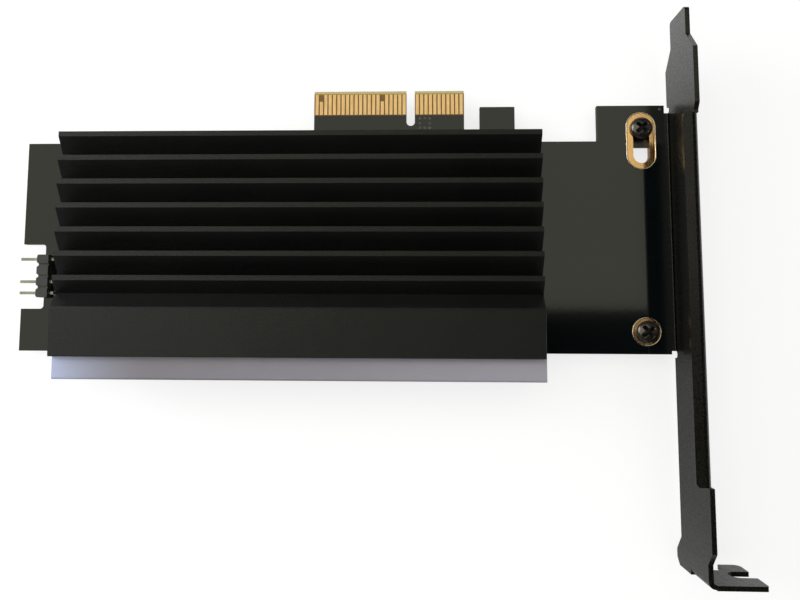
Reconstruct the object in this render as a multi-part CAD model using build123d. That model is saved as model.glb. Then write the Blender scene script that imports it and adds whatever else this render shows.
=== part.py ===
from build123d import *
import os
from math import atan, cos, degrees, radians, tan

# An expansion card that carries one solid state drive under a finned heatsink, with its steel bracket.
# All sizes are in millimetres. The pieces are drawn in the card's own frame: X = 0 is the middle of the
# key slot, Y = 0 is the tip of the gold fingers and Z = 0 is the component side of the board.
# X runs towards the bracket, Y towards the fingers and Z away from the board.
# At the end all pieces are moved so that the origin is the bottom centre of the whole card.

# Circuit board
board_thickness = 1.57
board_left = -88.45
board_right = 57.15
board_main_edge = -12.05
board_bottom_edge = -59.65
shoulder_left = 42.15
shoulder_edge = -3.85
shoulder_corner_radius = 0.6

# Card edge
finger_pitch = 1.0
finger_width = 0.7
fingers_beyond_key = 21
fingers_before_key = 11
first_finger = 1.5
finger_margin = 0.65
bevel_length = 0.9
bevel_depth = 0.45
finger_end = -5.6
short_finger_start = -2.5
short_front_fingers = (17, 31)
short_back_fingers = (1,)
key_width = 1.9
key_depth = 8.25
plating = 0.05

# Small tab beside the card edge
hook_left = 15.75
hook_width = 7.85
hook_edge = -3.95

# Notch in the far end of the board, where the light header sits
notch_depth = 5.15
notch_start = -35.5
notch_end = -50.2
notch_radius = 0.8

# Plated slot and plated hole for the bracket screws
hole_inset = 5.3
slot_centre = -11.95
slot_length = 10.2
slot_width = 3.6
round_hole = 3.35
round_hole_centre = -54.75
ring_width = 1.55
slot_screw_from_end = 2.3

# Bracket sheet
sheet = 1.0
bend_radius = 0.35
bracket_gap = 1.45
bracket_length = 120.02
bracket_width = 18.42
tongue_end = 14.85
tongue_width = 10.19
tongue_inset = 4.12
tongue_length = 6.2
tongue_shoulder = 4.1
tongue_corner_radius = 0.9
bulge_width = 3.17
bulge_start = 6.37
bulge_end = 1.47
waist_start = 7.27
waist_inset = 2.5
waist_length = 2.6
flange_start = -5.2
flange_end = -58.95
flange_reach = 2.15
relief_width = 1.5
relief_depth = 1.55
ear_reach = 9.6
ear_length = 7.9
ear_radius = 1.0
lip_start = -9.4
lip_end = -85.4
lip_drop = 0.9
lip_width = 3.26
lip_corner_radius = 1.0
lip_step_length = 0.6
lip_step_depth = 1.0
lip_step_slope = 1.4
tab_length = 11.43
tab_width = 15.4
tab_inset = 1.7
tab_corner_radius = 0.6
tab_far_radius = 1.6
tab_relief_length = 7.0
tab_relief_width = 4.3
tab_relief_radius = 1.0
screw_notch_width = 4.42
screw_notch_depth = 5.0
screw_notch_from_near = 7.9

# Bracket screws
screw_diameter = 2.9
screw_thread_gap = 0.05
screw_head_diameter = 4.9
screw_head_height = 1.7
screw_head_bevel = 0.75
screw_tail = 0.4
cross_width = 0.75
cross_length = 2.9
cross_depth = 1.0

# Heatsink section
sink_left = -76.5
sink_length = 104.4
rail_inset = 2.35
rail_width = 4.0
bay_height = 5.6
fin_floor = 8.8
fin_tip = 11.8
fin_count = 7
fin_pitch = 5.207
fin_tip_width = 1.1
fin_top_lean = 52.5
fin_under_lean = 48.0
fin_root_radius = 0.3
valley_from_tip = 2.71
slope_width = 3.1
block_top = 12.3
block_width = 10.3
block_wall = 2.0
block_edge_chamfer = 0.25
rail_from_valley = 0.45

# Heatsink screws, driven from the back of the board
sink_screw_inset = 4.0
sink_screw_diameter = 2.0
sink_screw_depth = 4.0
sink_screw_board_gap = 0.15
sink_screw_head_diameter = 3.8
sink_screw_head_height = 1.3
sink_screw_head_bevel = 0.45
sink_hole_spare = 0.6
sink_cross_width = 0.55
sink_cross_length = 2.1
sink_cross_depth = 0.7

# Thermal pad under the heatsink
pad_thickness = 1.0
pad_width = 21.0
pad_from_socket = 4.0
pad_from_standoff = 4.0

# Light bar and its lights
bar_thickness = 3.2
bar_reach = 4.85
bar_end_gap = 0.2
bar_overrun = 0.35
bar_rail_gap = 0.3
bar_edge_radius = 0.45
bar_leg_width = 3.2
bar_leg_gap = 0.4
light_count = 12
light_size = 2.0
light_height = 0.8
light_end_inset = 5.0

# Drive socket
drive_length = 80.0
drive_card_thickness = 0.8
socket_depth = 8.4
socket_width = 21.9
socket_height = 3.3
socket_end_gap = 2.6
socket_mouth_height = 1.2
socket_mouth_width = 20.1
socket_mouth_depth = 5.6
socket_mouth_floor = 1.35
socket_lower_jaw = 1.6
socket_seat_depth = 4.0
socket_key_from_end = 14.3
socket_key_width = 0.9
contact_pitch = 0.5
contact_width = 0.22
contact_thick = 0.15
contact_foot = 0.9
contact_heel = 0.6
contact_count = 38
anchor_width = 1.9
anchor_thick = 0.2
anchor_height = 1.3
anchor_foot = 0.9
peg_diameter = 1.1
peg_length = 1.1
peg_gap = 0.05
peg_inset = 1.6

# Standoff and screw that hold the far end of the drive
standoff_diameter = 4.4
standoff_neck_diameter = 3.0
standoff_neck_gap = 0.05
drive_screw_diameter = 2.0
drive_screw_gap = 0.05
drive_screw_head_diameter = 4.2
drive_screw_head_height = 0.9
drive_screw_head_bevel = 0.3
drive_screw_length = 3.0
drive_cross_depth = 0.55

# Light header
header_pitch = 2.54
header_ways = 4
header_centre = -42.88
header_overhang = 0.85
header_depth = 2.6
header_height = 2.54
header_chamfer = 0.3
header_groove_width = 0.55
header_groove_depth = 0.35
header_key_way = 1
pin_side = 0.64
pin_tip_inset = 0.2
pin_point = 0.35
pin_leg_gap = 0.6
pin_below_board = 0.7
pin_hole_gap = 0.12
solder_width = 1.7
solder_height = 0.55
solder_top_width = 0.9
solder_sides = 8

# Small parts on the board, all under the heatsink
regulator_size = (5.0, 4.0, 1.5)
inductor_size = (4.2, 4.2, 2.0)
inductor_corner = 0.7
controller_size = (2.9, 1.6, 1.1)
bulk_capacitor_size = (3.2, 1.6, 1.6)
small_capacitor_size = (1.6, 0.8, 0.8)
resistor_size = (1.6, 0.8, 0.45)
chip_cap = 0.3
chip_cap_thick = 0.03
lead_width = 0.35
lead_length = 0.6
lead_thick = 0.15
lead_pitch = 0.95
parts_column = 9.0
parts_gap = 0.9
row_count = 4

# Places that follow from the sizes above
edge_left = -(first_finger + (fingers_beyond_key - 1) * finger_pitch + finger_margin)
edge_right = first_finger + (fingers_before_key - 1) * finger_pitch + finger_margin
hole_x = board_right - hole_inset
slot_screw_y = slot_centre + slot_length / 2 - slot_screw_from_end
plate_in = board_right + bracket_gap
plate_out = plate_in + sheet
flange_top = -board_thickness - plating
plate_far = flange_top - sheet
plate_near = plate_far + bracket_width
lip_top = plate_near - lip_drop
tab_face = tongue_end - bracket_length + sheet
waist_near = plate_near - waist_inset
tab_near = plate_near - tab_inset
sink_right = sink_left + sink_length
fin_depth = fin_tip - fin_floor
fin_top_run = fin_depth * tan(radians(fin_top_lean))
fin_under_run = fin_depth * tan(radians(fin_under_lean))
rail_front = board_main_edge - rail_inset
last_tip = board_main_edge - (fin_count - 1) * fin_pitch
valley = last_tip - fin_tip_width - valley_from_tip
valley_floor = fin_tip - valley_from_tip / tan(radians(fin_top_lean))
slope_head = valley - slope_width
slope_foot = slope_head + slope_width * (block_top - fin_floor) / (block_top - valley_floor)
block_front = slope_head - block_width
rail_back = valley + rail_from_valley
bay_middle = (rail_front - rail_width + rail_back) / 2
bar_top = block_top - block_wall
bar_front = block_front - bar_reach
bar_bottom = bar_top - bar_thickness
bar_back = rail_back - rail_width - bar_rail_gap
lights_y = (bar_back + block_front) / 2
socket_right = sink_right - socket_end_gap
socket_left = socket_right - socket_depth
drive_end = socket_left + socket_seat_depth
standoff_x = drive_end - drive_length
standoff_height = socket_mouth_floor + (socket_mouth_height - drive_card_thickness) / 2
header_front = board_left + notch_depth - header_overhang
header_back = header_front + header_depth
pin_leg_x = header_back + pin_leg_gap + pin_side / 2
pin_height = header_height / 2
solder_inset = (solder_width - solder_top_width) / 2 * cos(radians(180 / solder_sides))
solder_slope = degrees(atan(solder_inset / solder_height))
lowest = plate_far - bulge_width
origin = Location((
    -(board_left + plate_in + tab_length) / 2,
    -(tongue_end - bracket_length / 2),
    -lowest,
))


def block(x0, x1, y0, y1, z0, z1):
    """A plain box between two corners, whichever way round they are given."""
    size = (abs(x1 - x0), abs(y1 - y0), abs(z1 - z0))
    return Pos((x0 + x1) / 2, (y0 + y1) / 2, (z0 + z1) / 2) * Box(*size)


def cylinder(x, y, z0, z1, diameter):
    """An upright cylinder."""
    return Pos(x, y, (z0 + z1) / 2) * Cylinder(diameter / 2, z1 - z0)


def slot_solid(x, y, z0, z1, width, length):
    """An upright prism with round ends that runs along Y."""
    face = Pos(x, y) * Rot(0, 0, 90) * SlotOverall(length, width)
    return Pos(0, 0, z0) * extrude(face, z1 - z0)


def upright(points, z0, z1):
    """A prism over an outline drawn in X and Y."""
    return Pos(0, 0, z0) * extrude(make_face(Polyline(points, close=True)), z1 - z0)


def along_x(face, x0, x1):
    """A prism along X over a face drawn with its X as the card's Y and its Y as the card's Z."""
    plane = Plane((x0, 0, 0), x_dir=(0, 1, 0), z_dir=(1, 0, 0))
    return extrude(plane * face, x1 - x0)


def along_y(face, y0, y1):
    """A prism along Y over a face drawn with its X as the card's X and its Y as the card's Z."""
    plane = Plane((0, y0, 0), x_dir=(1, 0, 0), z_dir=(0, -1, 0))
    return extrude(plane * face, y0 - y1)


def polygon(points):
    """A flat face with straight sides."""
    return make_face(Polyline(points, close=True))


def bend(centre, start_angle):
    """A quarter ring of sheet, drawn flat round the bend's centre."""
    outer = bend_radius + sheet
    ring = Circle(outer) - Circle(bend_radius)
    quarter = Rectangle(outer, outer, align=(Align.MIN, Align.MIN))
    return Pos(*centre) * Rot(0, 0, start_angle) * (ring & quarter)


def cross_recess(x, y, top, width, length, depth):
    """The tool that cuts a cross for a screwdriver, narrower at its foot."""
    arms = Rectangle(length, width) + Rectangle(width, length)
    narrowing = degrees(atan(width / 4 / depth))
    foot = Rot(180, 0, 0) * extrude(Rectangle(width, width), depth, taper=narrowing)
    return Pos(x, y, top) * (extrude(arms, -depth / 2) + foot)


def pan_screw(x, y, seat, shank_end, diameter, head_diameter, head_height, head_bevel, cross):
    """A pan head screw whose head stands up from its seat."""
    head = cylinder(x, y, seat, seat + head_height, head_diameter)
    head = chamfer(head.edges().group_by(Axis.Z)[-1], head_bevel)
    shank = cylinder(x, y, shank_end, seat, diameter)
    return head + shank - cross_recess(x, y, seat + head_height, *cross)


def circuit_board():
    """The bare board with its card edge, holes and notch."""
    outline = [
        (board_left, board_bottom_edge),
        (board_right, board_bottom_edge),
        (board_right, shoulder_edge),
        (shoulder_left, shoulder_edge),
        (shoulder_left, board_main_edge),
        (hook_left + hook_width, board_main_edge),
        (hook_left + hook_width, hook_edge),
        (hook_left, hook_edge),
        (hook_left, board_main_edge),
        (edge_right, board_main_edge),
        (edge_right, 0),
        (edge_left, 0),
        (edge_left, board_main_edge),
        (board_left, board_main_edge),
    ]
    board = upright(outline, -board_thickness, 0)
    inner = [
        edge
        for edge in board.edges().filter_by(Axis.Z)
        if abs(edge.center().Y - board_main_edge) < plating and edge.center().X > board_left + notch_depth
    ]
    board = fillet(inner, shoulder_corner_radius)
    board -= slot_solid(0, -key_depth / 2, -board_thickness, 0, key_width, key_depth)
    board -= block(-key_width / 2, key_width / 2, -key_depth / 2, 1, -board_thickness, 0)
    bevel = polygon([(0, 0), (-bevel_length, 0), (0, -bevel_depth)])
    board -= along_x(bevel, edge_left, edge_right)
    board -= Pos(0, 0, -board_thickness) * mirror(along_x(bevel, edge_left, edge_right), Plane.XY)
    notch_middle = (notch_start + notch_end) / 2
    notch = RectangleRounded(2 * notch_depth, notch_start - notch_end, notch_radius)
    board -= Pos(board_left, notch_middle, -board_thickness) * extrude(notch, board_thickness)
    board -= slot_solid(
        hole_x, slot_centre, -board_thickness, 0, slot_width + 2 * plating, slot_length + 2 * plating
    )
    board -= cylinder(hole_x, round_hole_centre, -board_thickness, 0, round_hole + 2 * plating)
    for x, y in sink_screw_places():
        board -= cylinder(x, y, -board_thickness, 0, sink_screw_diameter + 2 * sink_screw_board_gap)
    board -= cylinder(
        standoff_x, bay_middle, -board_thickness, 0, standoff_neck_diameter + 2 * standoff_neck_gap
    )
    for y in peg_places():
        board -= cylinder(peg_x(), y, -board_thickness, 0, peg_diameter + 2 * peg_gap)
    for y in pin_places():
        hole = RegularPolygon(pin_side * 2 ** 0.5 / 2 + pin_hole_gap, solder_sides)
        board -= Pos(pin_leg_x, y, -board_thickness) * extrude(hole, board_thickness)
    return board


def finger_places():
    """The middle of each finger along X, with its number counted from the bracket side."""
    before = [first_finger + n * finger_pitch for n in reversed(range(fingers_before_key))]
    beyond = [-first_finger - n * finger_pitch for n in range(fingers_beyond_key)]
    return before + beyond


def contacts(z0, z1, short_fingers):
    """One row of gold fingers, where the presence fingers start further from the tip."""
    pads = []
    for number, x in enumerate(finger_places(), start=1):
        start = short_finger_start if number in short_fingers else -bevel_length
        pads.append(block(x - finger_width / 2, x + finger_width / 2, finger_end, start, z0, z1))
    return pads


def front_contacts():
    """Row B, on the component side, where two fingers are short."""
    return contacts(0, plating, short_front_fingers)


def back_contacts():
    """Row A, where the first finger is short."""
    return contacts(-board_thickness - plating, -board_thickness, short_back_fingers)


def mounting_hole_plating():
    """Two flanged tubes of plating, one in the slot and one in the round hole."""
    top = plating
    bottom = -board_thickness - plating
    wide = 2 * ring_width
    slot = slot_solid(hole_x, slot_centre, 0, top, slot_width + wide, slot_length + wide)
    slot += slot_solid(hole_x, slot_centre, bottom, -board_thickness, slot_width + wide, slot_length + wide)
    slot += slot_solid(
        hole_x, slot_centre, bottom, top, slot_width + 2 * plating, slot_length + 2 * plating
    )
    slot -= slot_solid(hole_x, slot_centre, bottom, top, slot_width, slot_length)
    hole = cylinder(hole_x, round_hole_centre, 0, top, round_hole + wide)
    hole += cylinder(hole_x, round_hole_centre, bottom, -board_thickness, round_hole + wide)
    hole += cylinder(hole_x, round_hole_centre, bottom, top, round_hole + 2 * plating)
    hole -= cylinder(hole_x, round_hole_centre, bottom, top, round_hole)
    return [slot, hole]


def bracket_plate():
    """The flat plate of the bracket with its tongue, bulge and waist, before its folds."""
    shoulder_far = tongue_end - tongue_length
    tongue_far = plate_far + tongue_inset
    tongue_near = tongue_far + tongue_width
    foot = tab_face - sheet
    outline = [
        (tongue_end, tongue_near),
        (tongue_end, tongue_far),
        (shoulder_far, tongue_far),
        (shoulder_far - tongue_shoulder, plate_far),
        (foot + bulge_start, plate_far),
        (foot + bulge_start - bulge_width, lowest),
        (foot + bulge_end, lowest),
        (foot, lowest + bulge_width / 2),
        (foot, waist_near),
        (foot + waist_start - waist_length, waist_near),
        (foot + waist_start, plate_near),
        (lip_start - lip_step_depth, plate_near),
        (lip_start, plate_near - lip_step_depth),
        (lip_start + lip_step_length, plate_near - lip_step_depth),
        (lip_start + lip_step_length + lip_step_slope, plate_near),
        (shoulder_far - tongue_shoulder, plate_near),
        (shoulder_far, tongue_near),
    ]
    plate = along_x(polygon(outline), plate_in, plate_out)
    ends = plate.edges().filter_by(Axis.X).group_by(Axis.Y)[-1]
    return fillet(ends, tongue_corner_radius)


def bracket():
    """One folded sheet: plate, flange with two ears, stiffening lip and screw tab."""
    plate = bracket_plate()
    inside = plate_in - bend_radius

    flange_floor = flange_top + bend_radius
    plate -= block(plate_in, plate_out, flange_start, flange_end, lowest, flange_floor)
    for edge, side in ((flange_start, 1), (flange_end, -1)):
        middle = edge + side * relief_width / 2
        relief = Pos(middle, plate_far) * SlotOverall(2 * relief_depth, relief_width, rotation=90)
        plate -= along_x(relief, plate_in, plate_out)
    flange = along_y(bend((inside, flange_floor), 270), flange_start, flange_end)
    flange += block(board_right - flange_reach, inside, flange_start, flange_end, plate_far, flange_top)
    ear_left = board_right - ear_reach
    ear_right = board_right - flange_reach
    for start, end in (
        (flange_start, flange_start - ear_length),
        (flange_end + ear_length, flange_end),
    ):
        ear = block(ear_left, ear_right, start, end, plate_far, flange_top)
        corners = ear.edges().filter_by(Axis.Z).group_by(Axis.X)[0]
        flange += fillet(corners, ear_radius)
    for y in (slot_screw_y, round_hole_centre):
        flange -= cylinder(hole_x, y, plate_far, flange_top, screw_diameter + 2 * screw_thread_gap)

    lip_floor = lip_top - sheet
    plate -= block(plate_in, plate_out, lip_start, lip_end, lip_floor - bend_radius, plate_near + sheet)
    lip = along_y(bend((inside, lip_floor - bend_radius), 0), lip_start, lip_end)
    lip_flat = block(plate_out - lip_width, inside, lip_start, lip_end, lip_floor, lip_top)
    corners = lip_flat.edges().filter_by(Axis.Z).group_by(Axis.X)[0]
    lip += fillet(corners, lip_corner_radius)

    tab_far = tab_near - tab_width
    neck_far = tab_far + tab_relief_width
    tab_end = plate_in + tab_length
    outside = plate_out + bend_radius
    foot = tab_face + bend_radius
    plate -= block(plate_in, plate_out, foot, tab_face - sheet, neck_far, plate_near)
    quarter = bend((outside, foot), 180)
    neck = Pos(0, 0, neck_far) * extrude(quarter, waist_near - neck_far)
    tab = block(outside, tab_end, tab_face - sheet, tab_face, tab_far, tab_near)
    ends = tab.edges().filter_by(Axis.Y).group_by(Axis.X)[-1].sort_by(Axis.Z)
    tab = fillet(ends[-1], tab_corner_radius)
    ends = tab.edges().filter_by(Axis.Y).group_by(Axis.Z)[0].sort_by(Axis.X)
    tab = fillet(ends[-1], tab_far_radius)
    relief = block(
        plate_in, plate_in + tab_relief_length, tab_face - sheet, tab_face, tab_far - sheet, neck_far
    )
    ends = relief.edges().filter_by(Axis.Y).group_by(Axis.X)[-1].sort_by(Axis.Z)
    relief = fillet(ends[-1], tab_relief_radius)
    tab -= relief
    notch_z = tab_near - screw_notch_from_near
    notch = Pos(tab_end, notch_z) * SlotOverall(2 * screw_notch_depth, screw_notch_width)
    tab -= along_y(notch, tab_face, tab_face - sheet)
    return plate + flange + lip + neck + tab


def bracket_screws():
    """Two pan head screws, through the board into the bracket's ears."""
    cross = (cross_width, cross_length, cross_depth)
    end = plate_far - screw_tail
    return [
        pan_screw(
            hole_x, y, plating, end, screw_diameter,
            screw_head_diameter, screw_head_height, screw_head_bevel, cross,
        )
        for y in (slot_screw_y, round_hole_centre)
    ]


def heatsink():
    """One extrusion: two rails, a base, leaning fins and a raised block, with four tapped holes."""
    fins_end = rail_back - rail_width
    section = polygon([
        (rail_front, 0),
        (rail_front, fin_floor),
        (slope_foot, fin_floor),
        (slope_head, block_top),
        (block_front, block_top),
        (block_front, bar_top),
        (fins_end, bar_top),
        (fins_end, 0),
        (rail_back, 0),
        (rail_back, bay_height),
        (rail_front - rail_width, bay_height),
        (rail_front - rail_width, 0),
    ])
    for number in range(fin_count):
        tip = board_main_edge - number * fin_pitch
        section += polygon([
            (tip, fin_tip),
            (tip - fin_tip_width, fin_tip),
            (tip - fin_tip_width - fin_top_run, fin_floor),
            (tip - fin_under_run, fin_floor),
        ])
    sink = along_x(section, sink_left, sink_right)
    lines = sink.edges().filter_by(Axis.X)
    roots = [
        line
        for line in lines
        if abs(line.center().Z - fin_floor) < plating
        and slope_foot + fin_pitch / 2 < line.center().Y < rail_front - fin_tip_width
    ]
    sink = fillet(roots, fin_root_radius)
    top_edges = [
        line
        for line in sink.edges().filter_by(Axis.X)
        if abs(line.center().Z - block_top) < plating
    ]
    sink = chamfer(top_edges, block_edge_chamfer)
    for x, y in sink_screw_places():
        sink -= cylinder(x, y, 0, sink_screw_depth + sink_hole_spare, sink_screw_diameter)
    return sink


def sink_screw_places():
    """The middles of the four heatsink screws, in the two rails."""
    front = rail_front - rail_width / 2
    back = rail_back - rail_width / 2
    columns = (sink_left + sink_screw_inset, sink_right - sink_screw_inset)
    return [(x, y) for x in columns for y in (front, back)]


def heatsink_screws():
    """Four screws whose heads lie on the back of the board."""
    cross = (sink_cross_width, sink_cross_length, sink_cross_depth)
    screw = pan_screw(
        0, 0, 0, -board_thickness - sink_screw_depth, sink_screw_diameter,
        sink_screw_head_diameter, sink_screw_head_height, sink_screw_head_bevel, cross,
    )
    turned = Rot(180, 0, 0) * screw
    return [Pos(x, y, -board_thickness) * turned for x, y in sink_screw_places()]


def thermal_pad():
    """A soft pad stuck under the heatsink's base, above the drive."""
    left = standoff_x + pad_from_standoff
    right = socket_left - pad_from_socket
    return block(
        left, right, bay_middle - pad_width / 2, bay_middle + pad_width / 2,
        bay_height - pad_thickness, bay_height,
    )


def light_bar():
    """A milky bar under the block's overhang, with a leg that takes in light from the board."""
    leg_end = light_height + bar_leg_gap
    section = polygon([
        (bar_back, bar_top),
        (bar_front, bar_top),
        (bar_front, bar_bottom),
        (lights_y - bar_leg_width / 2, bar_bottom),
        (lights_y - bar_leg_width / 2, leg_end),
        (lights_y + bar_leg_width / 2, leg_end),
        (lights_y + bar_leg_width / 2, bar_bottom),
        (bar_back, bar_bottom),
    ])
    outer = section.vertices().group_by(Axis.X)[0]
    section = fillet(outer, bar_edge_radius)
    return along_x(section, sink_left + bar_end_gap, sink_right + bar_overrun)


def light_bar_leds():
    """A row of lights on the board, under the bar's leg."""
    first = sink_left + light_end_inset
    step = (sink_length - 2 * light_end_inset) / (light_count - 1)
    half = light_size / 2
    places = [first + number * step for number in range(light_count)]
    return [block(x - half, x + half, lights_y - half, lights_y + half, 0, light_height) for x in places]


def peg_x():
    """Where the socket's locating pegs lie along X."""
    return socket_right - socket_depth / 2


def peg_places():
    """Where the socket's locating pegs lie along Y."""
    offset = socket_width / 2 - peg_inset
    return (bay_middle - offset, bay_middle + offset)


def socket_end(side):
    """The end of the socket along Y, on the side given as 1 or -1."""
    return bay_middle + side * socket_width / 2


def m2_socket_housing():
    """The socket's plastic body with its mouth, lower jaw, key and two pegs."""
    body = block(socket_left, socket_right, socket_end(-1), socket_end(1), contact_thick, socket_height)
    mouth_top = socket_mouth_floor + socket_mouth_height
    half = socket_mouth_width / 2
    body -= block(
        socket_left, socket_left + socket_mouth_depth, bay_middle - half, bay_middle + half,
        socket_mouth_floor, mouth_top,
    )
    body -= block(
        socket_left, socket_left + socket_lower_jaw, bay_middle - half, bay_middle + half,
        mouth_top, socket_height,
    )
    key = bay_middle + half - socket_key_from_end
    body += block(
        socket_left + socket_lower_jaw, socket_left + socket_mouth_depth,
        key - socket_key_width / 2, key + socket_key_width / 2, socket_mouth_floor, mouth_top,
    )
    for y in peg_places():
        body += cylinder(peg_x(), y, -peg_length, contact_thick, peg_diameter)
    return body


def m2_socket_contacts():
    """Two rows of contact feet, which come out from under each long side of the socket."""
    first = bay_middle - (contact_count - 1) * contact_pitch / 2
    half = contact_width / 2
    feet = []
    for face, side in ((socket_left, -1), (socket_right, 1)):
        heel = face - side * contact_heel
        toe = face + side * contact_foot
        for number in range(contact_count):
            y = first + number * contact_pitch
            feet.append(block(heel, toe, y - half, y + half, 0, contact_thick))
    return feet


def m2_socket_anchors():
    """A soldered hold-down at each end of the socket."""
    anchors = []
    for side in (-1, 1):
        wall = socket_end(side)
        outer = wall + side * anchor_thick
        left = peg_x() - anchor_width / 2
        right = peg_x() + anchor_width / 2
        anchor = block(left, right, wall, outer, 0, anchor_height)
        anchor += block(left, right, outer, wall + side * anchor_foot, 0, anchor_thick)
        anchors.append(anchor)
    return anchors


def ssd_standoff():
    """A round nut pressed into the board, at the height of the socket's mouth."""
    nut = cylinder(standoff_x, bay_middle, 0, standoff_height, standoff_diameter)
    nut += cylinder(standoff_x, bay_middle, -board_thickness, 0, standoff_neck_diameter)
    hole = drive_screw_diameter + 2 * drive_screw_gap
    return nut - cylinder(standoff_x, bay_middle, -board_thickness, standoff_height, hole)


def ssd_screw():
    """The small screw that waits in the standoff for a drive."""
    end = standoff_height - drive_screw_length
    cross = (sink_cross_width, sink_cross_length, drive_cross_depth)
    return pan_screw(
        standoff_x, bay_middle, standoff_height, end, drive_screw_diameter,
        drive_screw_head_diameter, drive_screw_head_height, drive_screw_head_bevel, cross,
    )


def header_way(number):
    """The middle of one way of the header along Y, counted from the finger side."""
    return header_centre + ((header_ways - 1) / 2 - number) * header_pitch


def pin_places():
    """The ways that hold a pin, which are all but the key way."""
    return [header_way(number) for number in range(header_ways) if number != header_key_way]


def header_housing():
    """The header's plastic strip, with a square groove between one way and the next."""
    half = (header_pitch - header_groove_width) / 2
    shoulder = header_front + header_chamfer
    housing = block(
        shoulder, header_back, header_way(0) + half, header_way(header_ways - 1) - half,
        header_groove_depth, header_height - header_groove_depth,
    )
    for number in range(header_ways):
        way = header_way(number)
        housing += upright([
            (header_front, way - half + header_chamfer),
            (shoulder, way - half),
            (header_back, way - half),
            (header_back, way + half),
            (shoulder, way + half),
            (header_front, way + half - header_chamfer),
        ], 0, header_height)
    for y in pin_places():
        housing -= block(
            header_front, header_back, y - pin_side / 2, y + pin_side / 2,
            pin_height - pin_side / 2, pin_height + pin_side / 2,
        )
    return housing


def header_pins():
    """Three bent square pins that end level with the board's far end."""
    pins = []
    tip = board_left + pin_tip_inset
    half = pin_side / 2
    for y in pin_places():
        arm = block(tip, pin_leg_x + half, y - half, y + half, pin_height - half, pin_height + half)
        arm = chamfer(arm.faces().sort_by(Axis.X)[0].edges(), pin_point * half)
        low = -board_thickness - pin_below_board
        leg = block(pin_leg_x - half, pin_leg_x + half, y - half, y + half, low, pin_height)
        pin = arm + leg
        heel = pin.edges().filter_by(Axis.Y).sort_by(lambda e: e.center().X + e.center().Z)[-1]
        pins.append(fillet(heel, half))
    return pins


def header_solder():
    """A cone of solder round each pin, on both sides of the board."""
    cones = []
    half = pin_side / 2
    for y in pin_places():
        pin = block(
            pin_leg_x - half, pin_leg_x + half, y - half, y + half,
            -board_thickness - solder_height, solder_height,
        )
        top = extrude(RegularPolygon(solder_width / 2, solder_sides), solder_height, taper=solder_slope)
        cones.append(Pos(pin_leg_x, y, 0) * top - pin)
        cones.append(Pos(pin_leg_x, y, -board_thickness) * Rot(180, 0, 0) * top - pin)
    return cones


def parts_x(column):
    """The middle of a column of small parts, counted from the far end of the heatsink."""
    return sink_left + parts_column / 2 + column * parts_column


def chip(size, x, y):
    """A small two-ended chip that runs along X, with its metal caps a little proud."""
    length, width, height = size
    body = block(x - length / 2, x + length / 2, y - width / 2, y + width / 2, 0, height - chip_cap_thick)
    for side in (-1, 1):
        outer = x + side * length / 2
        inner = outer - side * chip_cap
        body += block(inner, outer, y - width / 2, y + width / 2, 0, height)
    return body


def leaded_chip(size, x, y):
    """A small black package with bent leads along each long side."""
    length, width, height = size
    leads = int(length / lead_pitch)
    body = block(x - length / 2, x + length / 2, y - width / 2, y + width / 2, lead_thick, height)
    for side in (-1, 1):
        wall = y + side * width / 2
        for number in range(leads):
            middle = x + (number - (leads - 1) / 2) * lead_pitch
            left, right = middle - lead_width / 2, middle + lead_width / 2
            body += block(left, right, wall, wall + side * lead_length, 0, lead_thick)
            body += block(left, right, wall, wall + side * lead_thick, 0, height / 2)
    return body


def bay_edge():
    """The line just inside the front rail, from which the small parts are set out."""
    return rail_front - rail_width - parts_gap


def power_regulator():
    """The package that makes the drive's supply."""
    y = bay_edge() - lead_length - regulator_size[1] / 2
    return leaded_chip(regulator_size, parts_x(0), y)


def power_inductor():
    """The moulded coil beside the regulator."""
    length, width, height = inductor_size
    y = bay_edge() - 2 * lead_length - regulator_size[1] - parts_gap - width / 2
    coil = block(
        parts_x(0) - length / 2, parts_x(0) + length / 2, y - width / 2, y + width / 2, 0, height
    )
    return chamfer(coil.edges().filter_by(Axis.Z), inductor_corner)


def light_controller():
    """The package that drives the row of lights, between them and the back rail."""
    x = sink_left + parts_column + controller_size[0]
    corridor_end = lights_y + bar_leg_width / 2
    return leaded_chip(controller_size, x, (rail_back - rail_width + corridor_end) / 2)


def bulk_capacitors():
    """Two large chips beside the regulator."""
    y = bay_edge() - lead_length - regulator_size[1] / 2
    step = bulk_capacitor_size[1] + parts_gap
    return [chip(bulk_capacitor_size, parts_x(1) - parts_gap, y + side * step / 2) for side in (-1, 1)]


def row_beside_socket(size, y):
    """A row of small chips between the socket and the rail, spaced along X."""
    step = size[0] + parts_gap
    first = socket_left - parts_gap - step / 2
    return [chip(size, first - number * step, y) for number in range(row_count)]


def decoupling_capacitors():
    """Four small chips beside the socket, along the front rail."""
    row = bay_edge() + parts_gap / 2 - small_capacitor_size[1] / 2
    return row_beside_socket(small_capacitor_size, row)


def chip_resistors():
    """Four small chips beside the socket, along the back rail."""
    row = rail_back + parts_gap / 2 + resistor_size[1] / 2
    return row_beside_socket(resistor_size, row)


def save(name, shape):
    """Moves a piece to the card's origin and writes it."""
    solids = []
    for piece in shape if isinstance(shape, list) else [shape]:
        solids += piece.solids()
    moved = [origin * solid for solid in solids]
    whole = moved[0] if len(moved) == 1 else Compound(children=moved)
    whole.label = name
    export_step(whole, f"parts/{name}.step")


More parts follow.
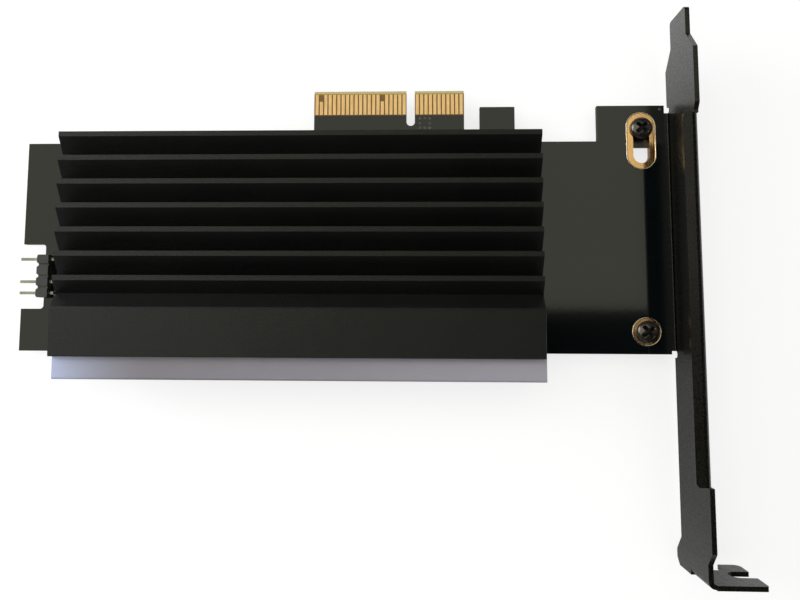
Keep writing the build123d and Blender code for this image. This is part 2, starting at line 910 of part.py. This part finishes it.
os.makedirs("parts", exist_ok=True)
for builder in (
    circuit_board,
    front_contacts,
    back_contacts,
    mounting_hole_plating,
    bracket,
    bracket_screws,
    heatsink,
    heatsink_screws,
    thermal_pad,
    light_bar,
    light_bar_leds,
    m2_socket_housing,
    m2_socket_contacts,
    m2_socket_anchors,
    ssd_standoff,
    ssd_screw,
    header_housing,
    header_pins,
    header_solder,
    power_regulator,
    power_inductor,
    bulk_capacitors,
    decoupling_capacitors,
    chip_resistors,
    light_controller,
):
    save(builder.__name__, builder())
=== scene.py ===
import math
import bmesh
import bpy
from mathutils import Euler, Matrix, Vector


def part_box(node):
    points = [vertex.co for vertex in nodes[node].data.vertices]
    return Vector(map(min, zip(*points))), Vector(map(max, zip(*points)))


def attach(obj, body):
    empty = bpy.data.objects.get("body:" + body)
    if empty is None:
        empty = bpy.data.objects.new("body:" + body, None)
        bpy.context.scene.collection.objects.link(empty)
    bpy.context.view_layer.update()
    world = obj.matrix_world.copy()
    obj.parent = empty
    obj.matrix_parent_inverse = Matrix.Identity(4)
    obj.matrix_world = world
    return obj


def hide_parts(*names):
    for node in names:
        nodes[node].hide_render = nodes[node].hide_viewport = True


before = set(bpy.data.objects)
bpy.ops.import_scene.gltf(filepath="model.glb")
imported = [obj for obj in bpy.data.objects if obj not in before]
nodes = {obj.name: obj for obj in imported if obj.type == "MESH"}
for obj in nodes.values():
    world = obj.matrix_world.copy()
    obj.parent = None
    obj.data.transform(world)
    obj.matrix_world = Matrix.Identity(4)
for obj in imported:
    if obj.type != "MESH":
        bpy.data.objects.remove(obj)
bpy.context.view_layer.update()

# All sizes are in metres, in the card's frame: X towards the bracket, Y towards the gold fingers, Z up.

# Where patches of tone start and end in a noise, where fine grain does, and what the grain changes
patch_low = 0.35
patch_high = 0.65
grain_low = 0.3
grain_high = 0.7
grain_rough = 0.08
speck_dark = 0.82
speck_light = 1.12

# Camera, above the component side and near the middle of the card
camera_place = (0.008585, -0.009814, 0.190362)
camera_turn = (6.2731, 2.2969, 0.2784)
camera_lens = 37.126
camera_shift = (0.03176, -0.07375)

# Studio: a warm panel overhead that the board mirrors, a window to the left and a dark tent round them
panel_height = 1.0
panel_left = -1.1
panel_right = 0.3535
panel_front = 0.023
panel_back = 0.75
panel_wing_right = -0.25
panel_wing_front = -0.35
panel_radiance = 1.07
panel_colour = (1.0, 0.975, 0.80)
window_place = (-0.68, 0.22, 0.38)
window_size = (0.5, 0.35)
window_radiance = 6.6
window_colour = (0.93, 0.97, 1.0)
tent_radius = 2.6
tent_glow_front = 0.2
tent_glow_back = 0.1
tent_dark_above = 0.7
fill_height = 1.6
fill_size = 2.0
fill_radiance = 0.7
room_radiance = 0.3
floor_size = 6.0
floor_glow = 0.74
floor_paint = 0.3
# Painted shade on the floor, seen only in gloss: near the card its glow drops to a share, and it rises
# back to full farther out
near_card = 0.05
far_from_card = 0.10
near_painted_shade_share = 0.12
shade_middle = (0.02, -0.015, 0)

# Board: where the bare laminate and its bands start, and how rough the mask and the laminate are
board_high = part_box("circuit_board")[1]
board_top = board_high.z
finger_low, finger_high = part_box("front_contacts")
laminate_start = finger_low.y - 0.00015
fingers_stop = finger_high.y
pale_start = finger_high.y + 0.00028
bare_beside = 0.0011
side_blur = 0.0001
mask_blur = 0.00004
band_blur = 0.00005
mask_roughness = 0.065
bare_roughness = 0.5
side_none = 0.25
side_full = 0.10

# Gold: how far its wear lines take the roughness down and up
wear_smooth = 0.06
wear_rough = 0.08

# Small plated holes, filled with mask: a square of them beside the key slot and one in a corner
via_width = 0.00062
via_ring_width = 0.0002
via_height = 0.00004
via_sides = 20
via_pitch = 0.0011
via_square = (finger_high.x - 0.0086, laminate_start - 0.0019)
via_corner = (board_high.x - 0.00096, board_high.y - 0.0047)

# Bracket screws
screws_low, screws_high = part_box("bracket_screws")
ring_low, ring_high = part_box("mounting_hole_plating")
head_width = screws_high.x - screws_low.x
head_height = screws_high.z - ring_high.z
head_rim = 0.00055
dome_share = 0.96
head_rings = 36
round_sides = 96
slot_ring_length = 0.0133
round_ring_width = 0.00645
rim_width = 0.00032
rim_height = 0.00007
shank_width = 0.0029
thread_pitch = 0.0005
thread_steps = 4
thread_depth = 0.0001
cross_length = 0.0033
cross_width = 0.0009
cross_depth = 0.0014
cross_end_slope = 2.4
cross_side_slope = 1.6
# Faces deeper than this in the screws' crosses get painted shade
recess_shade_from = 0.0004
cross_turns = (math.radians(45), math.radians(38))

# Heatsink: how much of its bump is drawn lines
drawn_share = 0.12

# Light bar: how far a painted bluish glow reaches in from the end away from the bracket, where daylight
# enters, and how much painted light brightens it towards the bracket
bar_low, bar_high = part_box("light_bar")
bar_painted_glow_reach = 0.022
bar_painted_light_gain = 1.5

# Rounded edges
soft_edges = {"heatsink": 0.00016, "light_bar": 0.00015, "bracket": 0.00008, "header_housing": 0.00008}


def new_material(name, colour, metallic=0.0, roughness=0.5):
    """A material with a Principled shader, and handles to its node tree."""
    material = bpy.data.materials.new(name)
    material.use_nodes = True
    tree = material.node_tree
    shader = tree.nodes["Principled BSDF"]
    shader.inputs["Base Color"].default_value = (*colour, 1)
    shader.inputs["Metallic"].default_value = metallic
    shader.inputs["Roughness"].default_value = roughness
    material.diffuse_color = (*colour, 1)
    return material, tree, shader


def place(tree):
    """The point on the surface, in the object's own coordinates, in metres."""
    return tree.nodes.new("ShaderNodeTexCoord").outputs["Object"]


def noise(tree, where, scale, detail, rough=0.55):
    """A grey noise whose scale is in cells to the metre."""
    node = tree.nodes.new("ShaderNodeTexNoise")
    node.inputs["Scale"].default_value = scale
    node.inputs["Detail"].default_value = detail
    node.inputs["Roughness"].default_value = rough
    tree.links.new(where, node.inputs["Vector"])
    return node.outputs["Fac"]


def spread(tree, value, low, high, to_low, to_high, smooth=True):
    """Maps a value from one range to another, held at its ends."""
    node = tree.nodes.new("ShaderNodeMapRange")
    node.interpolation_type = "SMOOTHSTEP" if smooth else "LINEAR"
    node.inputs["From Min"].default_value = low
    node.inputs["From Max"].default_value = high
    node.inputs["To Min"].default_value = to_low
    node.inputs["To Max"].default_value = to_high
    tree.links.new(value, node.inputs["Value"])
    return node.outputs["Result"]


def step_at(tree, value, where, blur):
    """Nought below a value and one above it, with a short blur."""
    return spread(tree, value, where - blur, where + blur, 0, 1, False)


def patches(tree, value):
    """Turns a noise into soft patches from nought to one."""
    return spread(tree, value, patch_low, patch_high, 0, 1)


def blend_colours(tree, factor, first, second):
    """Mixes two colours, each a tuple or a socket."""
    node = tree.nodes.new("ShaderNodeMix")
    node.data_type = "RGBA"
    tree.links.new(factor, node.inputs["Factor"])
    for socket, colour in ((node.inputs[6], first), (node.inputs[7], second)):
        if isinstance(colour, tuple):
            socket.default_value = (*colour, 1)
        else:
            tree.links.new(colour, socket)
    return node.outputs[2]


def brightened(tree, colour, factor):
    """A colour times a number, both sockets."""
    node = tree.nodes.new("ShaderNodeVectorMath")
    node.operation = "SCALE"
    tree.links.new(colour, node.inputs[0])
    tree.links.new(factor, node.inputs["Scale"])
    return node.outputs[0]


def axis_value(tree, where, axis):
    """One coordinate of a point."""
    node = tree.nodes.new("ShaderNodeSeparateXYZ")
    tree.links.new(where, node.inputs[0])
    return node.outputs[axis]


def stretched(tree, where, scale):
    """The point with each axis scaled, which draws a noise out into streaks."""
    node = tree.nodes.new("ShaderNodeMapping")
    node.inputs["Scale"].default_value = scale
    tree.links.new(where, node.inputs["Vector"])
    return node.outputs[0]


def bump(tree, shader, height, strength, distance):
    """Tilts the shading by a height, with the distance in metres."""
    node = tree.nodes.new("ShaderNodeBump")
    node.inputs["Strength"].default_value = strength
    node.inputs["Distance"].default_value = distance
    tree.links.new(height, node.inputs["Height"])
    tree.links.new(node.outputs[0], shader.inputs["Normal"])


def reckon(tree, operation, first, second):
    """Two values, each a number or a socket, through a sum or a product."""
    node = tree.nodes.new("ShaderNodeMath")
    node.operation = operation
    for socket, value in zip(node.inputs, (first, second)):
        if isinstance(value, (int, float)):
            socket.default_value = value
        else:
            tree.links.new(value, socket)
    return node.outputs[0]


def grainy(name, dark, light, roughness, grain, bump_size, metallic=0.0, cloud=60.0):
    """A finish with fine grain, a slow change of tone and a bumpy skin."""
    material, tree, shader = new_material(name, dark, metallic, roughness)
    where = place(tree)
    slow = noise(tree, where, cloud, detail=3.0)
    fine = noise(tree, where, grain, detail=2.0, rough=0.6)
    tone = blend_colours(tree, patches(tree, slow), dark, light)
    speck = spread(tree, fine, grain_low, grain_high, speck_dark, speck_light)
    tree.links.new(brightened(tree, tone, speck), shader.inputs["Base Color"])
    rough = spread(tree, fine, grain_low, grain_high, roughness - grain_rough, roughness + grain_rough)
    tree.links.new(rough, shader.inputs["Roughness"])
    bump(tree, shader, fine, strength=0.5, distance=bump_size)
    return material


def facing_sideways(tree):
    """One on a surface that stands upright, nought on one that lies flat."""
    upright = axis_value(tree, tree.nodes.new("ShaderNodeNewGeometry").outputs["Normal"], 2)
    return spread(tree, reckon(tree, "MULTIPLY", upright, upright), side_full, side_none, 1, 0)


def board_material():
    """Black glossy mask, bare laminate round the fingers, paler towards the tip, and cut edges."""
    mask = (0.0021, 0.0033, 0.0037)
    mask_light = (0.0030, 0.0042, 0.0045)
    laminate = (0.16, 0.075, 0.005)
    laminate_light = (0.22, 0.11, 0.010)
    band = (0.40, 0.25, 0.04)
    pale = (0.52, 0.44, 0.24)
    cut = (0.030, 0.022, 0.012)
    cut_light = (0.060, 0.046, 0.026)
    material, tree, shader = new_material("board_mask", mask, roughness=mask_roughness)
    where = place(tree)
    along_x = axis_value(tree, where, 0)
    along_y = axis_value(tree, where, 1)
    left_edge = finger_low.x - bare_beside
    right_edge = finger_high.x + bare_beside
    bare = step_at(tree, along_y, laminate_start, mask_blur)
    left = spread(tree, along_x, left_edge - side_blur, left_edge, 0, 1, False)
    right = spread(tree, along_x, right_edge, right_edge + side_blur, 1, 0, False)
    bare = reckon(tree, "MULTIPLY", reckon(tree, "MULTIPLY", bare, left), right)
    side = facing_sideways(tree)
    slow = noise(tree, where, scale=45, detail=3.0)
    fibre = noise(tree, where, scale=2600, detail=2.0)
    threads = patches(tree, fibre)
    mask_tone = blend_colours(tree, patches(tree, slow), mask, mask_light)
    cut_tone = blend_colours(tree, threads, cut, cut_light)
    bare_tone = blend_colours(tree, threads, laminate, laminate_light)
    past_fingers = step_at(tree, along_y, fingers_stop, band_blur)
    at_tip = step_at(tree, along_y, pale_start, band_blur)
    bare_tone = blend_colours(tree, past_fingers, bare_tone, band)
    bare_tone = blend_colours(tree, at_tip, bare_tone, pale)
    tone = blend_colours(tree, side, mask_tone, cut_tone)
    tone = blend_colours(tree, bare, tone, bare_tone)
    tree.links.new(tone, shader.inputs["Base Color"])
    dull = reckon(tree, "MAXIMUM", bare, side)
    tree.links.new(spread(tree, dull, 0, 1, mask_roughness, bare_roughness), shader.inputs["Roughness"])
    weave = noise(tree, where, scale=900, detail=2.0)
    bump(tree, shader, weave, strength=0.08, distance=0.00002)
    return material


def gold_material(name, dark, light, roughness):
    """Gold plate with faint wear lines along the direction of plugging in."""
    material, tree, shader = new_material(name, light, 1.0, roughness)
    lines = noise(tree, stretched(tree, place(tree), (1, 0.06, 1)), scale=5200, detail=2.0)
    tone = blend_colours(tree, patches(tree, lines), dark, light)
    tree.links.new(tone, shader.inputs["Base Color"])
    rough = spread(tree, lines, grain_low, grain_high, roughness - wear_smooth, roughness + wear_rough)
    tree.links.new(rough, shader.inputs["Roughness"])
    bump(tree, shader, lines, strength=0.15, distance=0.00001)
    return material


def anodised_material():
    """Black anodised aluminium, drawn along its length, with a fine blasted grain."""
    dark = (0.0008, 0.0009, 0.0009)
    light = (0.0018, 0.0018, 0.0017)
    material, tree, shader = new_material("anodised_black", dark, roughness=0.50)
    shader.inputs["Specular IOR Level"].default_value = 0.48
    where = place(tree)
    slow = noise(tree, where, scale=60, detail=3.0)
    drawn = noise(tree, stretched(tree, where, (0.03, 1, 1)), scale=2400, detail=2.0)
    grain = noise(tree, where, scale=3600, detail=2.0, rough=0.6)
    worn = reckon(tree, "MULTIPLY", slow, reckon(tree, "ADD", drawn, 0.5))
    tone = blend_colours(tree, patches(tree, worn), dark, light)
    tree.links.new(tone, shader.inputs["Base Color"])
    tree.links.new(spread(tree, grain, grain_low, grain_high, 0.42, 0.58), shader.inputs["Roughness"])
    height = reckon(tree, "ADD", grain, reckon(tree, "MULTIPLY", drawn, drawn_share))
    bump(tree, shader, height, strength=0.7, distance=0.00009)
    return material


def bracket_material():
    """Brown-black satin coat with a fine orange peel."""
    dark = (0.0032, 0.0028, 0.0018)
    light = (0.0050, 0.0044, 0.0030)
    material = grainy("bracket_paint", dark, light, roughness=0.32, grain=2600, bump_size=0.00001)
    shader = material.node_tree.nodes["Principled BSDF"]
    shader.inputs["Specular IOR Level"].default_value = 0.72
    return material


def acrylic_material():
    """Milky plastic with painted light: a bluish glow painted in from the end away from the bracket,
    where daylight enters, and painted light that brightens it towards the bracket.
    """
    material, tree, shader = new_material("milky_acrylic", (0.21, 0.195, 0.225), roughness=0.28)
    where = place(tree)
    along = axis_value(tree, where, 0)
    # Painted glow: the window's light entering the bar's end, painted into its colour
    painted_glow = spread(tree, along, bar_low.x, bar_low.x + bar_painted_glow_reach, 1, 0, False)
    painted_glow = reckon(tree, "MULTIPLY", painted_glow, painted_glow)
    slow = noise(tree, where, scale=30, detail=3.0)
    middle = blend_colours(tree, slow, (0.20, 0.186, 0.214), (0.245, 0.231, 0.265))
    tone = blend_colours(tree, painted_glow, middle, (0.46, 0.50, 0.70))
    # Painted light: the colour brightens towards the bracket end
    rise = spread(tree, along, bar_low.x + bar_painted_glow_reach, bar_high.x, 1, bar_painted_light_gain, False)
    tree.links.new(brightened(tree, tone, rise), shader.inputs["Base Color"])
    shader.inputs["Subsurface Weight"].default_value = 0.3
    shader.inputs["Subsurface Radius"].default_value = (0.004, 0.004, 0.005)
    fine = noise(tree, where, scale=1800, detail=2.0)
    tree.links.new(spread(tree, fine, grain_low, grain_high, 0.28, 0.34), shader.inputs["Roughness"])
    bump(tree, shader, fine, strength=0.1, distance=0.000003)
    return material


def plastic_material(name, dark, light, roughness):
    """Moulded plastic with a fine even skin."""
    return grainy(name, dark, light, roughness, grain=3000, bump_size=0.00001, cloud=200)


def metal_material(name, dark, light, roughness):
    """Bare metal with a fine turned or plated grain."""
    return grainy(name, dark, light, roughness, grain=4500, bump_size=0.00001, metallic=1.0, cloud=300)


materials = {
    "circuit_board": board_material(),
    "heatsink": anodised_material(),
    "bracket": bracket_material(),
    "light_bar": acrylic_material(),
    "thermal_pad": grainy(
        "pad_grey", (0.13, 0.15, 0.19), (0.17, 0.19, 0.23), roughness=0.85, grain=1500, bump_size=0.00005
    ),
    "light_bar_leds": plastic_material("light_body", (0.62, 0.60, 0.55), (0.70, 0.68, 0.62), 0.4),
    "ssd_standoff": metal_material("turned_brass", (0.55, 0.40, 0.16), (0.66, 0.50, 0.22), 0.3),
    "ssd_screw": metal_material("zinc_steel", (0.42, 0.42, 0.42), (0.52, 0.52, 0.51), 0.32),
    "header_solder": metal_material("solder", (0.84, 0.84, 0.84), (0.93, 0.93, 0.92), 0.34),
}
gold = gold_material("finger_gold", (0.64, 0.41, 0.18), (0.82, 0.56, 0.30), 0.20)
ring_gold = gold_material("ring_gold", (0.82, 0.49, 0.20), (0.94, 0.59, 0.27), 0.15)
black_steel = grainy(
    "black_steel", (0.11, 0.098, 0.088), (0.15, 0.135, 0.12),
    roughness=0.28, grain=3800, bump_size=0.000004, metallic=0.9,
)
# Painted shade for the deep faces of the screws' crosses: near-black, standing in for the shade inside
# the recess
recess_painted_shade = plastic_material("recess_painted_shade", (0.006, 0.0055, 0.005), (0.010, 0.009, 0.008), 0.6)
black_plastic = plastic_material("black_plastic", (0.026, 0.027, 0.027), (0.034, 0.034, 0.033), 0.42)
chip_black = plastic_material("chip_black", (0.016, 0.016, 0.017), (0.022, 0.022, 0.023), 0.55)
tin = metal_material("tin_plate", (0.27, 0.26, 0.225), (0.35, 0.335, 0.295), 0.30)
ceramic = plastic_material("ceramic", (0.20, 0.12, 0.06), (0.26, 0.17, 0.10), 0.5)
rim_metal = metal_material("rim_solder", (0.78, 0.68, 0.50), (0.90, 0.80, 0.62), 0.24)
via_finish = plastic_material("via_mask", (0.10, 0.092, 0.075), (0.16, 0.15, 0.12), 0.3)
for name in ("front_contacts", "back_contacts", "m2_socket_contacts"):
    materials[name] = gold
materials["mounting_hole_plating"] = ring_gold
for name in ("bracket_screws", "heatsink_screws"):
    materials[name] = black_steel
for name in ("m2_socket_housing", "header_housing"):
    materials[name] = black_plastic
for name in ("header_pins", "m2_socket_anchors"):
    materials[name] = tin
for name in ("power_regulator", "power_inductor", "light_controller", "chip_resistors"):
    materials[name] = chip_black
for name in ("bulk_capacitors", "decoupling_capacitors"):
    materials[name] = ceramic


def dress(name, material):
    """Gives a CAD node its finish."""
    mesh = nodes[name].data
    mesh.materials.clear()
    mesh.materials.append(material)


def soften(name, width):
    """Rounds a node's sharp edges a little, so that they catch the light."""
    bevel = nodes[name].modifiers.new("soft edges", "BEVEL")
    bevel.width = width
    bevel.segments = 2
    bevel.limit_method = "ANGLE"
    bevel.angle_limit = math.radians(40)
    bevel.harden_normals = True


def mesh_of(name, build):
    """The mesh of a bmesh, which is freed."""
    mesh = bpy.data.meshes.new(name)
    build.to_mesh(mesh)
    build.free()
    return mesh


def finish_piece(name, build, material):
    """Turns a bmesh into a piece that rides on the card."""
    bmesh.ops.recalc_face_normals(build, faces=build.faces)
    mesh = mesh_of(name, build)
    for face in mesh.polygons:
        face.use_smooth = True
    mesh.materials.append(material)
    piece = bpy.data.objects.new(name, mesh)
    bpy.context.scene.collection.objects.link(piece)
    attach(piece, "root")
    return piece


def turned_skin(build, centre, rings, sides):
    """A closed skin round an upright axis. Each ring gives, for an angle, its radius and height."""
    rows = []
    for ring in rings:
        row = []
        for step in range(sides):
            angle = 2 * math.pi * step / sides
            radius, height = ring(angle)
            point = Vector((radius * math.cos(angle), radius * math.sin(angle), height))
            row.append(build.verts.new(centre + point))
        rows.append(row)
    for upper, lower in zip(rows, rows[1:]):
        for step in range(sides):
            after = (step + 1) % sides
            build.faces.new((upper[step], upper[after], lower[after], lower[step]))
    build.faces.new(rows[0])
    build.faces.new(list(reversed(rows[-1])))


def cross_cut(x, y, turn):
    """How deep the screwdriver's cross goes at a point of the head."""
    cos, sin = math.cos(turn), math.sin(turn)
    depth = 0
    for along, across in ((x * cos + y * sin, y * cos - x * sin), (y * cos - x * sin, x * cos + y * sin)):
        length_left = 1 - abs(along) / (cross_length / 2)
        width_left = 1 - abs(across) / (cross_width / 2)
        if length_left > 0 and width_left > 0:
            ends = min(1, cross_end_slope * length_left)
            depth = max(depth, cross_depth * ends * min(1, cross_side_slope * width_left))
    return depth


def head_ring(fraction, turn):
    """A ring of the domed head at a share of its radius, with the cross pressed into it."""
    half = head_width / 2

    def ring(angle):
        radius = half * fraction
        dome = (head_height - head_rim) * math.sqrt(max(0, 1 - fraction ** 2)) * dome_share
        cut = cross_cut(radius * math.cos(angle), radius * math.sin(angle), turn)
        return radius, head_rim + dome - cut

    return ring


def thread_ring(height):
    """A ring of the screw's thread, whose radius turns with the helix."""

    def ring(angle):
        phase = (height / thread_pitch + angle / (2 * math.pi)) % 1
        return shank_width / 2 - thread_depth * abs(2 * phase - 1), height

    return ring


def bracket_screw(build, centre, turn, tail):
    """A pan head with its cross, and a threaded shank under it."""
    half = head_width / 2
    rings = [head_ring(step / head_rings, turn) for step in range(1, head_rings + 1)]
    rings.append(lambda angle: (half, 0.0))
    rings.append(lambda angle: (shank_width / 2, 0.0))
    steps = int(tail / (thread_pitch / thread_steps))
    rings += [thread_ring(-tail * (step + 1) / steps) for step in range(steps)]
    turned_skin(build, centre, rings, round_sides)


def bracket_screw_pair():
    """Both screws of the bracket, in place of the plain ones, with painted shade on the faces deep in
    their crosses.
    """
    build = bmesh.new()
    middle = (screws_low.x + screws_high.x) / 2
    seat = ring_high.z
    tail = seat - screws_low.z
    places = (screws_high.y - head_width / 2, screws_low.y + head_width / 2)
    for y, turn in zip(places, cross_turns):
        bracket_screw(build, Vector((middle, y, seat)), turn, tail)
    pair = finish_piece("domed_bracket_screws", build, black_steel)
    # Painted shade: faces deep in each cross take the near-black finish
    pair.data.materials.append(recess_painted_shade)
    for face in pair.data.polygons:
        spot = face.center
        for y, turn in zip(places, cross_turns):
            if spot.z > seat and cross_cut(spot.x - middle, spot.y - y, turn) > recess_shade_from:
                face.material_index = 1
    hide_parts("bracket_screws")


def bead(build, centre, radius, straight, width, height, sides):
    """A low round bead inside a circle, or inside a circle drawn out along Y."""
    half = width / 2
    profile = ((-1, 0), (-0.6, 0.75), (0, 1), (0.6, 0.75), (1, 0), (0, -0.3))
    rows = []
    for step in range(sides):
        angle = 2 * math.pi * (step + 0.5) / sides
        shift = straight / 2 if math.sin(angle) > 0 else -straight / 2
        row = []
        for across, up in profile:
            reach = radius - half + across * half
            point = Vector((reach * math.cos(angle), shift + reach * math.sin(angle), up * height))
            row.append(build.verts.new(centre + point))
        rows.append(row)
    for step, row in enumerate(rows):
        after = rows[(step + 1) % sides]
        for corner in range(len(profile)):
            follow = (corner + 1) % len(profile)
            build.faces.new((row[corner], row[follow], after[follow], after[corner]))


def plating_rims():
    """The bright raised edges of the slot's ring and of the round hole's ring."""
    build = bmesh.new()
    middle = (ring_low.x + ring_high.x) / 2
    slot_radius = (ring_high.x - ring_low.x) / 2
    slot = Vector((middle, ring_high.y - slot_ring_length / 2, ring_high.z))
    hole = Vector((middle, ring_low.y + round_ring_width / 2, ring_high.z))
    bead(build, slot, slot_radius, slot_ring_length - 2 * slot_radius, rim_width, rim_height, round_sides)
    bead(build, hole, round_ring_width / 2, 0, rim_width, rim_height, round_sides)
    finish_piece("plating_rims", build, rim_metal)


def via(build, x, y):
    """The raised ring of mask round a small filled hole."""
    bead(build, Vector((x, y, board_top)), via_width / 2, 0, via_ring_width, via_height, via_sides)


def board_vias():
    """Eight vias round a square beside the key slot, and one in the corner near the bracket."""
    build = bmesh.new()
    x, y = via_square
    for column in (-1, 0, 1):
        for row in (-1, 0, 1):
            if column or row:
                via(build, x + column * via_pitch, y + row * via_pitch)
    via(build, *via_corner)
    finish_piece("filled_vias", build, via_finish)


def stage_object(name, mesh):
    """Links a mesh that isn't part of the card."""
    thing = bpy.data.objects.new(name, mesh)
    bpy.context.scene.collection.objects.link(thing)
    return thing


def background_rays(tree):
    """One for the rays that see a background: from the camera, off gloss and through clear things."""
    path = tree.nodes.new("ShaderNodeLightPath")
    seen = reckon(tree, "MAXIMUM", path.outputs["Is Camera Ray"], path.outputs["Is Glossy Ray"])
    return reckon(tree, "MAXIMUM", seen, path.outputs["Is Transmission Ray"])


def glowing_material(name):
    """A material without the Principled shader, with its node tree and an Emission shader."""
    material = bpy.data.materials.new(name)
    material.use_nodes = True
    tree = material.node_tree
    tree.nodes.remove(tree.nodes["Principled BSDF"])
    return material, tree, tree.nodes.new("ShaderNodeEmission")


def make_floor():
    """A pale floor that looks white and keeps a soft shadow. Gloss sees a painted shade on it close to
    the card.
    """
    build = bmesh.new()
    bmesh.ops.create_grid(build, x_segments=1, y_segments=1, size=floor_size / 2)
    mesh = mesh_of("floor", build)
    material, tree, glow = glowing_material("floor_paper")
    paint = tree.nodes.new("ShaderNodeBsdfDiffuse")
    paint.inputs["Color"].default_value = (floor_paint, floor_paint, floor_paint, 1)
    distance = tree.nodes.new("ShaderNodeVectorMath")
    distance.operation = "DISTANCE"
    tree.links.new(place(tree), distance.inputs[0])
    distance.inputs[1].default_value = shade_middle
    # Painted shade: the glow that gloss sees is lowered near the card, standing in for the card's shadow
    # on the floor
    floor_painted_shade = spread(tree, distance.outputs["Value"], near_card, far_from_card, near_painted_shade_share, 1)
    camera = tree.nodes.new("ShaderNodeLightPath").outputs["Is Camera Ray"]
    seen = reckon(tree, "MULTIPLY", background_rays(tree), reckon(tree, "MAXIMUM", floor_painted_shade, camera))
    strength = reckon(tree, "MULTIPLY", seen, floor_glow)
    tree.links.new(strength, glow.inputs["Strength"])
    both = tree.nodes.new("ShaderNodeAddShader")
    tree.links.new(paint.outputs[0], both.inputs[0])
    tree.links.new(glow.outputs[0], both.inputs[1])
    tree.links.new(both.outputs[0], tree.nodes["Material Output"].inputs["Surface"])
    mesh.materials.append(material)
    stage_object("floor", mesh)


def make_tent():
    """A dark tent that only reflections see, lighter near the ground and in front of the card."""
    build = bmesh.new()
    bmesh.ops.create_uvsphere(build, u_segments=48, v_segments=24, radius=tent_radius)
    mesh = mesh_of("tent", build)
    material, tree, glow = glowing_material("tent_cloth")
    where = place(tree)
    rise = spread(tree, axis_value(tree, where, 2), 0, tent_dark_above * tent_radius, 1, 0)
    turn = spread(tree, axis_value(tree, where, 1), -tent_radius, 0, tent_glow_front, tent_glow_back)
    tree.links.new(reckon(tree, "MULTIPLY", rise, turn), glow.inputs["Strength"])
    tree.links.new(glow.outputs[0], tree.nodes["Material Output"].inputs["Surface"])
    mesh.materials.append(material)
    tent = stage_object("tent", mesh)
    tent.visible_camera = False
    tent.visible_diffuse = False
    tent.visible_transmission = False
    tent.visible_shadow = False


def make_room():
    """An even dim room, which shows as white behind the card. The tent hides it from gloss."""
    world = bpy.data.worlds.new("room")
    world.use_nodes = True
    tree = world.node_tree
    strength = spread(tree, background_rays(tree), 0, 1, room_radiance, 1.0, False)
    tree.links.new(strength, tree.nodes["Background"].inputs["Strength"])
    tree.nodes["Background"].inputs["Color"].default_value = (1, 1, 1, 1)
    bpy.context.scene.world = world


def make_lamp(name, centre, size, colour, radiance):
    """A flat lamp, as bright as its radiance says."""
    width, depth = size
    lamp = bpy.data.lights.new(name, "AREA")
    lamp.shape = "RECTANGLE"
    lamp.size = width
    lamp.size_y = depth
    lamp.color = colour
    lamp.energy = radiance * math.pi * width * depth
    holder = bpy.data.objects.new(name, lamp)
    holder.location = centre
    bpy.context.scene.collection.objects.link(holder)
    return holder


def panel_part(name, left, right, front, back):
    """One rectangle of the overhead panel."""
    middle = ((left + right) / 2, (front + back) / 2, panel_height)
    make_lamp(name, middle, (right - left, back - front), panel_colour, panel_radiance)


def make_lights():
    """The panel that the card mirrors, with a wing to the left, the window and a weak fill."""
    panel_part("panel", panel_left, panel_right, panel_front, panel_back)
    panel_part("panel_wing", panel_left, panel_wing_right, panel_wing_front, panel_front)
    window = make_lamp("window", window_place, window_size, window_colour, window_radiance)
    window.rotation_euler = Vector(window_place).to_track_quat("Z", "Y").to_euler()
    fill = make_lamp("fill", (0, 0, fill_height), (fill_size, fill_size), window_colour, fill_radiance)
    fill.visible_glossy = False


def make_camera():
    """The camera at the photograph's place."""
    data = bpy.data.cameras.new("camera")
    data.sensor_width = 36
    data.lens = camera_lens
    data.shift_x, data.shift_y = camera_shift
    data.clip_start = 0.01
    data.clip_end = 20
    holder = bpy.data.objects.new("camera", data)
    holder.location = camera_place
    holder.rotation_euler = Euler([math.radians(a) for a in camera_turn])
    bpy.context.scene.collection.objects.link(holder)
    bpy.context.scene.camera = holder


for name, material in materials.items():
    dress(name, material)
for name, width in soft_edges.items():
    soften(name, width)
bracket_screw_pair()
plating_rims()
board_vias()
make_floor()
make_tent()
make_room()
make_lights()
make_camera()

bpy.context.scene.view_settings.view_transform = "Standard"
